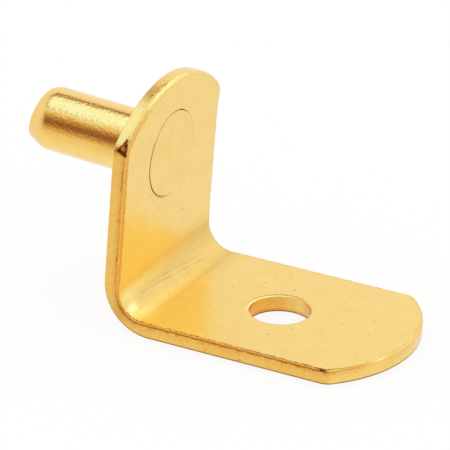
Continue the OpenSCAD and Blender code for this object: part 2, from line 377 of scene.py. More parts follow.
def blankMesh(p, s):
    # the flat blank: x along it, y across it, z the depth below its inner face
    bm = bmesh.new()
    faces = {}
    for upper in (True, False):
        uv, quads, rings = blankFace(p, s, upper)
        drop = faceDrop(p, s, uv[:, 0], uv[:, 1], upper)
        depth = drop if upper else p["thickness"] - drop
        verts = [bm.verts.new((u, v, d)) for (u, v), d in zip(uv, depth)]
        for q in quads:
            bm.faces.new([verts[k] for k in q])
        faces[upper] = {name: [verts[k] for k in loop] for name, loop in rings.items()}
    t = p["thickness"]
    chains = []
    for name in ("outline", "hole"):
        top, bottom = faces[True][name], faces[False][name]
        between = [[bm.verts.new(a.co.lerp(b.co, share)) for a, b in zip(top, bottom)]
                   for share in p["cutSteps"]]
        chains.append([top] + between + [bottom])
    # the stepped hole of the peg: head seat, neck hole, shoulder bed
    top, bottom = faces[True]["head"], faces[False]["head"]
    rim = [(vert.co.x - s["head"], vert.co.y) for vert in top]
    steps = []
    for radius, depth in ((None, p["headSeatDepth"]), (p["neckHoleRadius"], p["headSeatDepth"]),
                          (p["neckHoleRadius"], t - p["shoulderBed"]),
                          (p["shoulderBedRadius"], t - p["shoulderBed"])):
        shares = [radius / math.hypot(x, y) if radius else 1 for x, y in rim]
        steps.append([bm.verts.new((s["head"] + x * k, y * k, depth)) for (x, y), k in zip(rim, shares)])
    chains.append([top] + steps + [bottom])
    for chain in chains:
        for a, b in zip(chain, chain[1:]):
            for k in range(len(a)):
                bm.faces.new((a[k - 1], a[k], b[k], b[k - 1]))
    bmesh.ops.remove_doubles(bm, verts=bm.verts, dist=weld)
    bmesh.ops.recalc_face_normals(bm, faces=bm.faces)
    # what the plating asks: the stage of the edge (-1 to 1 the die roll, to 2 the cut, then the outer
    # face), how torn that edge is, the holes' walls, the two corners where dark reflection is painted,
    # and the place on the blank in mm
    where = np.array([vert.co for vert in bm.verts])
    u, v, depth = where.T
    distance, roll, torn = edgeFields(p, s, u, v)
    inward = np.clip(distance, 0, p["inwardMost"]) * np.where(depth > t - p["burrRound"] - hair, -1, 1)
    across = depth - inward
    stage = np.clip(across / roll, -1, 1) + p["faceStages"] * np.minimum(across + roll, 0)
    stage += np.maximum(across - roll, 0) / (t - roll)
    fromHole = np.hypot(u - s["hole"], v)
    inHole = (fromHole < p["holeRadius"] + hair) & (depth > p["holeDishDepth"] + hair)
    shape = {"edgeStage": stage, "tornEdge": torn, "holeWall": inHole * 1.0,
             "struck": struckField(p, s, u, v, depth) + darkCrescentField(p, s, u, v, stage)}
    layers = {name: bm.verts.layers.float.new(name) for name in shape}
    blankPlace = bm.verts.layers.float_vector.new("blankPlace")
    skew = p["wallSkew"] * ease(s["wallArc"] - u, *p["skewFrom"])
    skew = skew * ease(np.hypot(u - s["head"], v), *p["skewPastHead"])
    for k, vert in enumerate(bm.verts):
        for name, values in shape.items():
            vert[layers[name]] = values[k]
        vert[blankPlace] = vert.co
        vert.co.y += skew[k]
    mesh = bpy.data.meshes.new("blank")
    bm.to_mesh(mesh)
    bm.free()
    return mesh


def foldTree(material):
    # folds the blank: each point is laid between the two guide lines, line-arc-line, of the
    # inner and the outer face, at its own depth
    tree, sockets, geometry, made = shapeTree("foldPlate", {
        "angle": ("Bend angle", "Float"), "inR": ("Inner radius", "Float"),
        "outR": ("Outer radius", "Float"), "thick": ("Thickness", "Float"),
        "roll": ("Edge roll", "Float")})
    place = addNode(tree, "GeometryNodeInputPosition")
    split = addNode(tree, "ShaderNodeSeparateXYZ", None, {0: place.outputs[0]})
    made.update(zip(("u", "v", "depth"), split.outputs))
    made["inU"], made["outZ"] = made["u"], made["outR"]
    steps = [
        ("fold", "SUBTRACT", math.pi, "angle"),
        ("half", "DIVIDE", "angle", 2.0),
        ("tangent", "TANGENT", "half"),
        ("inZ", "ADD", "inR", "thick"),                 # height of the bend's inner centre over the heel
        ("inX", "DIVIDE", "inZ", "tangent"),
        ("outX", "DIVIDE", "outR", "tangent"),
        ("inTurn", "MULTIPLY", "inR", "fold"),
        ("inArc", "DIVIDE", "inTurn", 2.0),
        ("outTurn", "MULTIPLY", "outR", "fold"),
        ("outArc", "DIVIDE", "outTurn", 2.0),
        ("lap", "SUBTRACT", "outX", "inX"),
        ("zone", "ADD", "inArc", "lap"),
        ("zoneBack", "MULTIPLY", "zone", -1.0),
        ("belowZone", "MAXIMUM", "u", "zoneBack"),
        ("inZone", "MINIMUM", "belowZone", "zone"),
        ("ratio", "DIVIDE", "outArc", "zone"),
        ("stretch", "SUBTRACT", "ratio", 1.0),
        ("outU", "MULTIPLY_ADD", "inZone", "stretch", "u"),
        ("middle", "ADD", "half", math.pi),             # the bend's middle points at the heel
    ]
    guideLine = [
        ("Back", "MULTIPLY", "*Arc", -1.0),
        ("Low", "MAXIMUM", "*U", "*Back"),
        ("On", "MINIMUM", "*Low", "*Arc"),
        ("Rest", "SUBTRACT", "*U", "*On"),
        ("Bent", "DIVIDE", "*On", "*R"),
        ("Angle", "ADD", "middle", "*Bent"),
        ("Cos", "COSINE", "*Angle"),
        ("Sin", "SINE", "*Angle"),
        ("RunX", "MULTIPLY", "*Rest", "*Sin"),
        ("RunZ", "MULTIPLY", "*Rest", "*Cos"),
        ("CosR", "MULTIPLY_ADD", "*R", "*Cos", "*X"),
        ("SinR", "MULTIPLY_ADD", "*R", "*Sin", "*Z"),
        ("PointX", "SUBTRACT", "*CosR", "*RunX"),
        ("PointZ", "ADD", "*SinR", "*RunZ"),
    ]
    for face in ("in", "out"):
        for name, operation, *values in guideLine:
            values = [v.replace("*", face) if isinstance(v, str) else v for v in values]
            steps.append((face + name, operation, *values))
    # the die roll keeps its size where the bend is drawn thin, and the cut below it takes the difference
    steps += [
        ("acrossX", "SUBTRACT", "outPointX", "inPointX"),
        ("acrossZ", "SUBTRACT", "outPointZ", "inPointZ"),
        ("squareX", "MULTIPLY", "acrossX", "acrossX"),
        ("square", "MULTIPLY_ADD", "acrossZ", "acrossZ", "squareX"),
        ("local", "SQRT", "square"),
        ("below", "SUBTRACT", "depth", "roll"),
        ("past", "MAXIMUM", "below", 0.0),
        ("thinned", "SUBTRACT", "local", "thick"),
        ("wallPart", "SUBTRACT", "thick", "roll"),
        ("thin", "DIVIDE", "thinned", "wallPart"),
        ("laid", "MULTIPLY_ADD", "past", "thin", "depth"),
        ("share", "DIVIDE", "laid", "local"),
        ("x", "MULTIPLY_ADD", "acrossX", "share", "inPointX"),
        ("z", "MULTIPLY_ADD", "acrossZ", "share", "inPointZ"),
    ]
    for name, operation, *values in steps:
        inputs = {k: made[v] if isinstance(v, str) else v for k, v in enumerate(values)}
        made[name] = addNode(tree, "ShaderNodeMath", {"operation": operation}, inputs).outputs[0]
    spot = addNode(tree, "ShaderNodeCombineXYZ", None, {0: made["x"], 1: made["v"], 2: made["z"]})
    put = addNode(tree, "GeometryNodeSetPosition", None, {
        "Geometry": geometry, "Position": spot.outputs[0]})
    endTree(tree, put.outputs[0], material)
    return tree, sockets


def treeMesh(name, base, tree, values):
    # the tree's result on a base mesh, as a plain mesh object
    obj = bpy.data.objects.new(name, base)
    bpy.context.scene.collection.objects.link(obj)
    modifier = obj.modifiers.new("shape", "NODES")
    modifier.node_group = tree
    for identifier, value in values.items():
        modifier[identifier] = value
    graph = bpy.context.evaluated_depsgraph_get()
    made = bpy.data.meshes.new_from_object(obj.evaluated_get(graph))
    obj.modifiers.remove(modifier)
    obj.data = made
    made.name = name
    return obj


def finishPiece(obj, matrix, sharpAngle):
    # puts the mesh in its place, with its faces outward and its edges past an angle sharp
    mesh = obj.data
    mesh.transform(matrix)
    bm = bmesh.new()
    bm.from_mesh(mesh)
    bmesh.ops.remove_doubles(bm, verts=bm.verts, dist=weld * mm)
    bmesh.ops.recalc_face_normals(bm, faces=bm.faces)
    if bm.calc_volume(signed=True) < 0:
        bmesh.ops.reverse_faces(bm, faces=bm.faces)
    for face in bm.faces:
        face.smooth = True
    for edge in bm.edges:
        edge.smooth = len(edge.link_faces) == 2 and edge.calc_face_angle(0) < math.radians(sharpAngle)
    bm.to_mesh(mesh)
    bm.free()
    mesh.update()


stations = plateStations(plate)
bend = math.radians(plate["bendAngle"])
rootX, rootZ = (plate["pegFromHeel"] * f(bend) for f in (math.cos, math.sin))
toPart = Matrix.Scale(mm, 4) @ Matrix.Translation((-rootX, 0, -rootZ))

# the brass plating of both pieces
brass = {
    "face": "#FCE188", "faceDeep": "#F2C656",
    "faceRoughness": 0.3, "cutRoughness": 0.27, "bendRoughness": 0.45,
    "pegRoughness": 0.1, "headRoughness": 0.28,
    "polishRoughness": -0.15, "rollRoughness": 0.13,       # added where a tool rubbed and on clean rolls
    # sizes of the patches of each pattern, mm
    "cloud": 1.6, "jag": 0.24, "patch": 1.3, "pit": 0.55, "fine": 0.16,
    "grain": (0.16, 0.16, 0.9),                            # drawn out through the sheet by the shearing
    "pegGrain": 0.22, "pegFine": 0.12,
    # how deep the bump of each piece is, mm
    "sheetBump": 0.0015, "pegBump": 0.003,
    # tint by the stage of the edge, on the torn edges and on the clean ones: partly the sheared edge's
    # own colour, partly painted shade that dims the die roll's highlight
    "torn": [(-1.45, "#FFFFFF"), (-1.0, "#FAEEDC"), (-0.7, "#F6E0C2"), (0.0, "#F6DEC0"),
             (0.4, "#F6E0C4"), (0.8, "#F8E4C8"), (1.05, "#FCF2E2"), (1.35, "#FFFFFF")],
    "clean": [(-1.7, "#FFFFFF"), (-1.0, "#FFF4E4"), (-0.5, "#FFFDF6"), (0.7, "#FFFFFF")],
    "stages": (-1.9, 2.3),
    # tint of the painted dark reflection in the struck corner and on the seat's front corner, from its
    # rim inward
    "struck": [(0.0, "#FFFFFF"), (0.25, "#7A4A2A"), (0.5, "#6E4428"), (0.75, "#A07454"),
               (1.0, "#CDA88E")],
    # dark seams of the torn edges, and a line of painted dark reflection on the die roll: stage, and
    # half the width in stages
    "seam": (0.5, 0.3), "lip": (-0.85, 0.42),
    "rimStage": 1.97,                                      # the burred outer edge, where a line of painted contact shade is laid
    "polishAt": -6.2,                                      # v where a tool burnished the fold
    "lines": (0.1, -0.25), "lineShare": 0.4,               # u of the punch's two lines
    "tearAt": -2.0, "tearStage": 1.2, "tearShare": 0.95,   # v and stage of a tear in the wall leg's arc
    "pitShare": 0.6, "speckShare": 0.14,
    "ringWidth": 0.11,                                     # mm, the painted shade round the head where its gap is open
    "dishSide": -0.87,                                     # slant of the side of the hole's dish that carries painted dark reflection
    # what each darker place multiplies the colour by, in the order in which they are laid; the hole's
    # sides and lower rim, the front die roll, the ring round the head and the outer edge are painted
    # shade, and the line on the die roll and the dish's far rim are painted dark reflection
    "stainsAndShade": {
        "cutPatch": "#FFF8E8", "holeSideShade": "#F6D09A", "holeLipShade": "#A8825C", "rollTan": "#F9E8CE",
        "dull": "#F4E6CC", "seam": "#CCA06C", "lip": "#A8744A", "ring": "#C89250", "dishRim": "#A87C4C",
        "bendTint": "#EDE3D1", "outer": "#8E683C", "mark": "#B48A60",
    },
    # the peg: how far inside the wall face its head begins, and where its soft shoulder does, mm
    "headInside": 0.3, "coneFrom": 8.6, "coneFade": 1.5,
}


# each of the next four gives rows for a table of steps: the name made, the operation, its values
def clamped(key, source, slope, start):
    # a share from 0 to 1 that grows with a value
    return [(key + "Grow", "MULTIPLY_ADD", source, slope, start),
            (key + "Low", "MAXIMUM", key + "Grow", 0.0),
            (key, "MINIMUM", key + "Low", 1.0)]


def nearTo(key, source, at, slope, start):
    # a share that falls off on both sides of a value
    return [(key + "From", "SUBTRACT", source, at), (key + "Off", "ABSOLUTE", key + "From"),
            *clamped(key, key + "Off", slope, start)]


def product(key, *parts):
    # the parts multiplied together
    names = [key + str(k) for k in range(len(parts) - 2)] + [key]
    return [(name, "MULTIPLY", before, part)
            for name, before, part in zip(names, [parts[0]] + names, parts[1:])]


def reachFrom(key, at):
    # how far a place on the blank is from a point on its middle line
    return [(key + "Along", "SUBTRACT", "u", at),
            (key + "Square", "MULTIPLY", key + "Along", key + "Along"),
            (key + "Sum", "MULTIPLY_ADD", "v", "v", key + "Square"),
            (key, "SQRT", key + "Sum")]


def platedSheet(name, b):
    # brass plate over blanked and tumbled steel: satin faces, and sheared edges with torn, darker seams
    material, tree = shaderTree(name)
    made = {}
    read = {"stage": "edgeStage", "torn": "tornEdge", "hole": "holeWall", "struck": "struck"}
    for key, attribute in read.items():
        made[key] = addNode(tree, "ShaderNodeAttribute", {"attribute_name": attribute}).outputs["Fac"]
    blank = addNode(tree, "ShaderNodeAttribute", {"attribute_name": "blankPlace"}).outputs["Vector"]
    made.update(zip("uvw", addNode(tree, "ShaderNodeSeparateXYZ", None, {0: blank}).outputs))
    for key, detail in (("cloud", 3.0), ("jag", 4.0), ("patch", 2.0), ("pit", 1.5), ("fine", 2.0)):
        made[key] = addNode(tree, "ShaderNodeTexNoise", None, {
            "Vector": blank, "Scale": 1 / b[key], "Detail": detail}).outputs["Fac"]
    stretched = addNode(tree, "ShaderNodeVectorMath", {"operation": "DIVIDE"}, {0: blank, 1: b["grain"]})
    made["grain"] = addNode(tree, "ShaderNodeTexNoise", None, {
        "Vector": stretched.outputs[0], "Scale": 1.0, "Detail": 3.0}).outputs["Fac"]
    low, high = b["stages"]
    steps = [
        # the stage of the edge, swayed by noise, more on the seat leg, and not at the burred edge
        ("sway", "SUBTRACT", "jag", 0.5),
        *clamped("calm", "stage", -1.5, 2.9),
        ("swayHere", "MULTIPLY", "sway", "calm"),
        *clamped("seatSide", "u", 0.4, 0.7),
        ("swayBy", "MULTIPLY_ADD", "seatSide", 1.0, 1.3),
        ("edge", "MULTIPLY_ADD", "swayHere", "swayBy", "stage"),
        # the front edges carry more tint, painted dark reflection of the front that their die roll
        # mirrors, and strong and dotted places break the seams up
        *clamped("frontEdge", "v", -0.25, 0.5),
        ("tintShare", "MULTIPLY_ADD", "frontEdge", 0.7, 0.3),
        ("fromLow", "SUBTRACT", "edge", low),
        ("tintAt", "DIVIDE", "fromLow", high - low),
        *clamped("strong", "patch", 6.0, -2.7),
        ("seamShare", "MULTIPLY_ADD", "strong", 0.65, 0.35),
        *clamped("dots", "fine", 6.0, -2.5),
        ("dotShare", "MULTIPLY_ADD", "dots", 0.6, 0.4),
        # the seam between the cut and the fracture, and a line of painted dark reflection on the die
        # roll near the face
        *nearTo("seamLine", "edge", b["seam"][0], -1 / b["seam"][1], 1.15),
        *product("seam", "seamLine", "torn", "seamShare", "dotShare"),
        *nearTo("lipLine", "edge", b["lip"][0], -1 / b["lip"][1], 1.1),
        ("lipShare", "MULTIPLY_ADD", "seatSide", 0.6, 0.4),
        *product("lip", "lipLine", "torn", "tintShare", "lipShare", "dotShare"),
        # roughness: the cut, the stretched skin of the bend, wider at the back, where a tool held it,
        # and the clean die roll
        *clamped("cut", "edge", 2.0, -1.6),
        ("turn", "ABSOLUTE", "u"),
        ("turnBack", "MULTIPLY_ADD", "v", -0.1, "turn"),
        *clamped("peel", "turnBack", -0.75, 2.3),
        ("roughA", "MULTIPLY_ADD", "cut", b["cutRoughness"] - b["faceRoughness"], b["faceRoughness"]),
        ("roughB", "MULTIPLY_ADD", "peel", b["bendRoughness"] - b["faceRoughness"], "roughA"),
        ("fromPolish", "SUBTRACT", "v", b["polishAt"]),
        ("polishOff", "ABSOLUTE", "fromPolish"),
        ("polishAlong", "MULTIPLY_ADD", "turn", 0.45, "polishOff"),
        *clamped("polish", "polishAlong", -1.4, 1.7),
        ("roughC", "MULTIPLY_ADD", "polish", b["polishRoughness"], "roughB"),
        ("rollOff", "ABSOLUTE", "edge"),
        *clamped("rollIn", "rollOff", -0.9, 1.4),
        ("clean", "SUBTRACT", 1.0, "torn"),
        ("cleanRoll", "MULTIPLY", "rollIn", "clean"),
        ("rough", "MULTIPLY_ADD", "cleanRoll", b["rollRoughness"], "roughC"),
        # the die roll of the seat leg's arc is darker behind its front part, and the front torn edge's
        # roll carries painted shade that dims its highlight
        *clamped("dullFrom", "v", 1.0, 3.6),
        *product("dull", "cleanRoll", "seatSide", "dullFrom"),
        *product("rollTan", "rollIn", "torn", "frontEdge", "seatSide"),
        # two soft lines that the forming punch left along the bend, running off a little askew
        ("askew", "MULTIPLY_ADD", "v", -0.1, "u"),
        ("fromA", "SUBTRACT", "askew", b["lines"][0]),
        ("fromB", "SUBTRACT", "askew", b["lines"][1]),
        ("swayA", "MULTIPLY_ADD", "sway", 0.3, "fromA"),
        ("swayB", "MULTIPLY_ADD", "sway", -0.3, "fromB"),
        ("offA", "ABSOLUTE", "swayA"),
        ("offB", "ABSOLUTE", "swayB"),
        ("near", "MINIMUM", "offA", "offB"),
        *clamped("line", "near", -9.0, 1.0),
        ("side", "ABSOLUTE", "v"),
        *clamped("lineIn", "side", -0.8, 4.2),
        *product("lineSoft", "line", "lineIn", "seamShare", b["lineShare"]),
        # a tear in the cut of the wall leg's arc
        *nearTo("tearIn", "v", b["tearAt"], -1.2, 2.0),
        ("tearAt", "MULTIPLY_ADD", "tearInFrom", 0.15, "edge"),
        *nearTo("tearLine", "tearAt", b["tearStage"], -13.0, 1.25),
        ("wall", "LESS_THAN", "u", 0.0),
        *product("tear", "tearLine", "wall", "tearIn", b["tearShare"]),
        # a few pits, and fine specks in patches
        *clamped("deepPit", "pit", 9.0, -6.3),
        ("pitSoft", "MULTIPLY", "deepPit", b["pitShare"]),
        *clamped("fineSpeck", "fine", 5.0, -2.9),
        *product("speck", "fineSpeck", "strong", b["speckShare"]),
        ("markA", "MAXIMUM", "lineSoft", "pitSoft"),
        ("markB", "MAXIMUM", "markA", "speck"),
        ("mark", "MAXIMUM", "markB", "tear"),
        ("cutPatch", "MULTIPLY", "cut", "patch"),
        # painted contact shade: a dark line along the burred outer edge, most of all along the seat leg,
        # which stands on the floor
        *nearTo("rim", "stage", b["rimStage"], -9.0, 1.2),
        ("outer", "MULTIPLY", "rim", "seatSide"),
        # how deep the gold is
        ("toneA", "MULTIPLY_ADD", "fine", 0.8, -0.55),
        ("toneB", "MULTIPLY_ADD", "jag", 0.8, "toneA"),
        ("tone", "MULTIPLY_ADD", "cloud", 0.5, "toneB"),
        # painted shade: the rim of the head's seat is darker where the gap round the head is open
        *reachFrom("fromHead", b["headAt"]),
        ("fromRing", "SUBTRACT", "fromHead", plate["headSeatRadius"]),
        *clamped("ringNear", "fromRing", -1 / b["ringWidth"], 2.0),
        *clamped("ringSide", "v", -0.45, 0.55),
        *clamped("innerFace", "w", -3.0, 1.4),
        *product("ring", "ringNear", "innerFace", "ringSide", "dotShare"),
        # painted shade on the burr drawn down round the hole's lower rim, painted dark reflection on one
        # side of the dish at its upper rim, and painted shade on the sides of its walls
        *clamped("deep", "w", 9.0, -10.2),
        ("holeLipShade", "MULTIPLY", "deep", "hole"),
        *reachFrom("fromHole", b["holeAt"]),
        *nearTo("dishNear", "fromHole", plate["holeRadius"] + plate["holeDish"], -12.0, 1.1),
        ("dishWay", "MULTIPLY_ADD", "fromHoleAlong", b["dishSide"], "v"),
        *clamped("dishFar", "dishWay", 0.6, -0.8),
        # painted dark reflection on the far side of the dish's rim
        *product("dishRim", "dishNear", "innerFace", "dishFar", "dotShare"),
        ("holeOff", "ABSOLUTE", "fromHoleAlong"),
        *clamped("holeFar", "holeOff", 0.75, -0.25),
        # painted shade: the hole's walls darker towards their two sides along the blank
        ("holeSideShade", "MULTIPLY", "holeFar", "hole"),
        # the painted dark reflection in the struck corner and on the seat's front corner, spotted, and
        # the bend
        ("struckShare", "MULTIPLY_ADD", "fine", 3.2, -0.7),
        ("darkReflectionHere", "MULTIPLY", "struck", "struckShare"),
        *clamped("bendTint", "turnBack", -1.0, 1.6),
        # height of the bump: grain all over, coarser on the bend and on the cut, and marks sunk in
        ("polishJag", "MULTIPLY", "polish", "jag"),
        ("peelJag", "MULTIPLY", "peel", "jag"),
        ("edgeJag", "MULTIPLY", "cut", "jag"),
        ("heightA", "MULTIPLY_ADD", "peelJag", 12.0, "grain"),
        ("heightB", "MULTIPLY_ADD", "edgeJag", 6.0, "heightA"),
        ("fineBy", "MULTIPLY_ADD", "peel", 3.0, 0.8),
        ("heightC", "MULTIPLY_ADD", "fine", "fineBy", "heightB"),
        ("heightD", "MULTIPLY_ADD", "polishJag", 8.0, "heightC"),
        ("height", "MULTIPLY_ADD", "mark", -3.0, "heightD"),
    ]
    for key, operation, *values in steps:
        inputs = {k: made[v] if isinstance(v, str) else v for k, v in enumerate(values)}
        made[key] = addNode(tree, "ShaderNodeMath", {"operation": operation}, inputs).outputs[0]
    ramps = {}
    for key, source, start, end in (("clean", "tintAt", low, high), ("torn", "tintAt", low, high),
                                    ("struck", "darkReflectionHere", 0, 1)):
        ramp = addNode(tree, "ShaderNodeValToRGB", None, {0: made[source]})
        for k, (at, colour) in enumerate(b[key]):
            element = ramp.color_ramp.elements[k] if k < 2 else ramp.color_ramp.elements.new(1.0)
            element.position = (at - start) / (end - start)
            element.color = linear(colour)
        ramps[key] = ramp.outputs[0]
    tint = addNode(tree, "ShaderNodeMix", {"data_type": "RGBA"}, {
        "Factor": made["torn"], "A": ramps["clean"], "B": ramps["torn"]}).outputs["Result"]
    colour = addNode(tree, "ShaderNodeMix", {"data_type": "RGBA"}, {
        "Factor": made["tone"], "A": linear(b["face"]), "B": linear(b["faceDeep"])}).outputs["Result"]
    # the edge tint, then the painted dark reflection of the corners, then each darker place, real or
    # painted
    layers = [(made["tintShare"], tint), (1.0, ramps["struck"])]
    layers += [(made[key], linear(darkening)) for key, darkening in b["stainsAndShade"].items()]
    for share, darkening in layers:
        colour = addNode(tree, "ShaderNodeMix", {"data_type": "RGBA", "blend_type": "MULTIPLY"}, {
            "Factor": share, "A": colour, "B": darkening}).outputs["Result"]
    bump = addNode(tree, "ShaderNodeBump", None, {
        "Height": made["height"], "Strength": 1.0, "Distance": b["sheetBump"] * mm})
    shader = addNode(tree, "ShaderNodeBsdfPrincipled", None, {
        "Base Color": colour, "Metallic": 1.0, "Roughness": made["rough"], "Normal": bump.outputs[0]})
    addNode(tree, "ShaderNodeOutputMaterial", None, {0: shader.outputs[0]})
    return material


def platedPeg(name, b):
    # brass plate over turned steel: glossy on the shank, satin on the cone and the riveted head
    material, tree = shaderTree(name)
    where = addNode(tree, "ShaderNodeTexCoord").outputs["Object"]
    split = addNode(tree, "ShaderNodeSeparateXYZ", None, {0: where})
    made = {"x": split.outputs[0]}
    patterns = {"grain": (b["pegGrain"], 3.0), "fine": (b["pegFine"], 2.0), "cloud": (b["cloud"], 3.0)}
    for key, (size, detail) in patterns.items():
        made[key] = addNode(tree, "ShaderNodeTexNoise", None, {
            "Vector": where, "Scale": 1 / (size * mm), "Detail": detail}).outputs["Fac"]
    steps = [
        # the head lies inside the plate, and the cone past the soft shoulder
        ("headIn", "GREATER_THAN", "x", b["headInside"] * mm),
        ("coneAt", "MULTIPLY_ADD", "x", -1 / mm, -b["coneFrom"]),
        *clamped("cone", "coneAt", b["coneFade"], 0.0),
        ("satin", "MAXIMUM", "cone", "headIn"),
        ("rougher", "MULTIPLY", "satin", b["headRoughness"] - b["pegRoughness"]),
        ("rough", "ADD", "rougher", b["pegRoughness"]),
        ("toneA", "MULTIPLY_ADD", "headIn", 0.1, -0.3),
        ("toneB", "MULTIPLY_ADD", "fine", 0.8, "toneA"),
        ("tone", "MULTIPLY_ADD", "cloud", 0.8, "toneB"),
        ("fineHigh", "MULTIPLY", "fine", 2.2),
        ("height", "MULTIPLY_ADD", "grain", 7.0, "fineHigh"),
    ]
    for key, operation, *values in steps:
        inputs = {k: made[v] if isinstance(v, str) else v for k, v in enumerate(values)}
        made[key] = addNode(tree, "ShaderNodeMath", {"operation": operation}, inputs).outputs[0]
    golds = addNode(tree, "ShaderNodeMix", {"data_type": "RGBA"}, {
        "Factor": made["tone"], "A": linear(b["face"]), "B": linear(b["faceDeep"])})
    bump = addNode(tree, "ShaderNodeBump", None, {
        "Height": made["height"], "Strength": 1.0, "Distance": b["pegBump"] * mm})
    shader = addNode(tree, "ShaderNodeBsdfPrincipled", None, {
        "Base Color": golds.outputs["Result"], "Metallic": 1.0, "Roughness": made["rough"],
        "Normal": bump.outputs[0]})
    addNode(tree, "ShaderNodeOutputMaterial", None, {0: shader.outputs[0]})
    return material


brass["headAt"], brass["holeAt"] = stations["head"], stations["hole"]
tree, sockets = foldTree(platedSheet("brassPlatedSheet", brass))
folded = treeMesh("foldedPlate", blankMesh(plate, stations), tree, {
    sockets["angle"]: bend,
    sockets["inR"]: plate["bendRadiusIn"],
    sockets["outR"]: plate["bendRadiusOut"],
    sockets["thick"]: plate["thickness"],
    sockets["roll"]: plate["wallRoll"],
})
finishPiece(folded, toPart, plate["sharpAngle"])
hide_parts("bracket")
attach(folded, "root")
print("plate folded", len(folded.data.polygons))


# the riveted peg, in mm and degrees
peg = {
    "radius": 2.5, "length": 10.05, "tip": 0.9, "tipAngle": 25.0, "tipRound": 2.2,
    "shearAngle": 10.8, "shearTurn": 20.0,
    "neckRadius": 2.0, "shoulderBed": 0.1, "headRadius": 3.365, "headThickness": 0.6, "headRound": 0.04,
    # the mesh: radii of the head's rings, shares of the cone and of the cut, and counts
    "headRings": (0, 0.6, 1.2, 1.8, 2.4, 2.9, 3.2),
    "coneRings": (0.25, 0.5, 0.75, 0.92, 0.98), "cutRings": (1, 0.985, 0.95, 0.85, 0.6, 0.3, 0),
    "rimSteps": 7, "shankSteps": 24, "shoulderSteps": 9, "steps": 160,
    "sharpAngle": 30,
}


def pegProfile(p, thickness):
    # x: radius, z: height along the axis, y: share of the slanted cut that the point takes
    angle = math.radians(p["tipAngle"])
    rim = p["radius"] - math.tan(angle) * p["tip"]
    rows = [(r, 0, -thickness) for r in p["headRings"]]
    h, r = p["headRadius"], p["headRound"]
    rows += [(h - r + r * math.sin(a), 0, -thickness + r - r * math.cos(a))
             for a in np.linspace(0, math.pi / 2, p["rimSteps"])]
    top = -thickness + p["headThickness"]
    rows += [(h, 0, top), (p["neckRadius"], 0, top), (p["neckRadius"], 0, -p["shoulderBed"]),
             (p["radius"], 0, -p["shoulderBed"])]
    # soft shoulder: an arc that runs from the shank into the cone
    r = p["tipRound"]
    middle = p["radius"] - r, p["length"] - p["tip"] - r * math.tan(angle / 2)
    rows += [(p["radius"], 0, z) for z in np.linspace(0, middle[1], p["shankSteps"])[:-1]]
    rows += [(middle[0] + r * math.cos(a), 0, middle[1] + r * math.sin(a))
             for a in np.linspace(0, angle, p["shoulderSteps"])]
    x, _, z = rows[-1]
    rows += [(x + (rim - x) * share, share, z + (p["length"] - z) * share) for share in p["coneRings"]]
    rows += [(rim * share, share, p["length"]) for share in p["cutRings"]]
    return rows, rim


def turnTree(material):
    # turns a profile round the Z axis, and slants the end by the shear cut
    tree, sockets, geometry, made = shapeTree("turnPeg", {
        "steps": ("Steps", "Int"), "rows": ("Rows", "Int"), "rim": ("Rim radius", "Float"),
        "slope": ("Cut slope", "Float"), "turn": ("Cut turn", "Float"), "tip": ("Tip slope", "Float")})
    made["index"] = addNode(tree, "GeometryNodeInputIndex").outputs[0]
    place = addNode(tree, "GeometryNodeInputPosition").outputs[0]
    steps = [
        ("perRow", "ADD", "steps", 1.0),
        ("counted", "ADD", "index", 0.5),
        ("rowPart", "DIVIDE", "counted", "perRow"),
        ("row", "FLOOR", "rowPart"),
        ("before", "MULTIPLY", "row", "perRow"),
        ("step", "SUBTRACT", "index", "before"),
        ("angleSum", "MULTIPLY", "step", 2 * math.pi),
        ("angle", "DIVIDE", "angleSum", "steps"),
        ("fromCut", "SUBTRACT", "angle", "turn"),
        ("lean", "COSINE", "fromCut"),
        ("cos", "COSINE", "angle"),
        ("sin", "SINE", "angle"),
        # the slanted cut meets the cone further out on its low side
        ("slopes", "MULTIPLY", "slope", "tip"),
        ("slopesHere", "MULTIPLY", "slopes", "lean"),
        ("shrink", "SUBTRACT", 1.0, "slopesHere"),
        ("rimHere", "DIVIDE", "rim", "shrink"),
        ("rimGrowth", "SUBTRACT", "rimHere", "rim"),
        ("fall", "MULTIPLY", "slope", "rimHere"),
        ("fallHere", "MULTIPLY", "fall", "lean"),
    ]
    shape = [
        ("radiusHere", "MULTIPLY_ADD", "share", "rimGrowth", "radius"),
        ("lost", "MULTIPLY", "share", "fallHere"),
        ("z", "SUBTRACT", "height", "lost"),
        ("x", "MULTIPLY", "radiusHere", "cos"),
        ("y", "MULTIPLY", "radiusHere", "sin"),
    ]
    for part in (steps, shape):
        for name, operation, *values in part:
            inputs = {k: made[v] if isinstance(v, str) else v for k, v in enumerate(values)}
            made[name] = addNode(tree, "ShaderNodeMath", {"operation": operation}, inputs).outputs[0]
        if part is steps:
            taken = addNode(tree, "GeometryNodeSampleIndex", {"data_type": "FLOAT_VECTOR"}, {
                "Geometry": geometry, "Value": place, "Index": made["row"]})
            split = addNode(tree, "ShaderNodeSeparateXYZ", None, {0: taken.outputs[0]})
            made.update(zip(("radius", "share", "height"), split.outputs))
    grid = addNode(tree, "GeometryNodeMeshGrid", None, {
        "Vertices X": made["rows"], "Vertices Y": made["perRow"]})
    spot = addNode(tree, "ShaderNodeCombineXYZ", None, {0: made["x"], 1: made["y"], 2: made["z"]})
    put = addNode(tree, "GeometryNodeSetPosition", None, {
        "Geometry": grid.outputs["Mesh"], "Position": spot.outputs[0]})
    merged = addNode(tree, "GeometryNodeMergeByDistance", None, {
        "Geometry": put.outputs[0], "Distance": weld})
    endTree(tree, merged.outputs[0], material)
    return tree, sockets


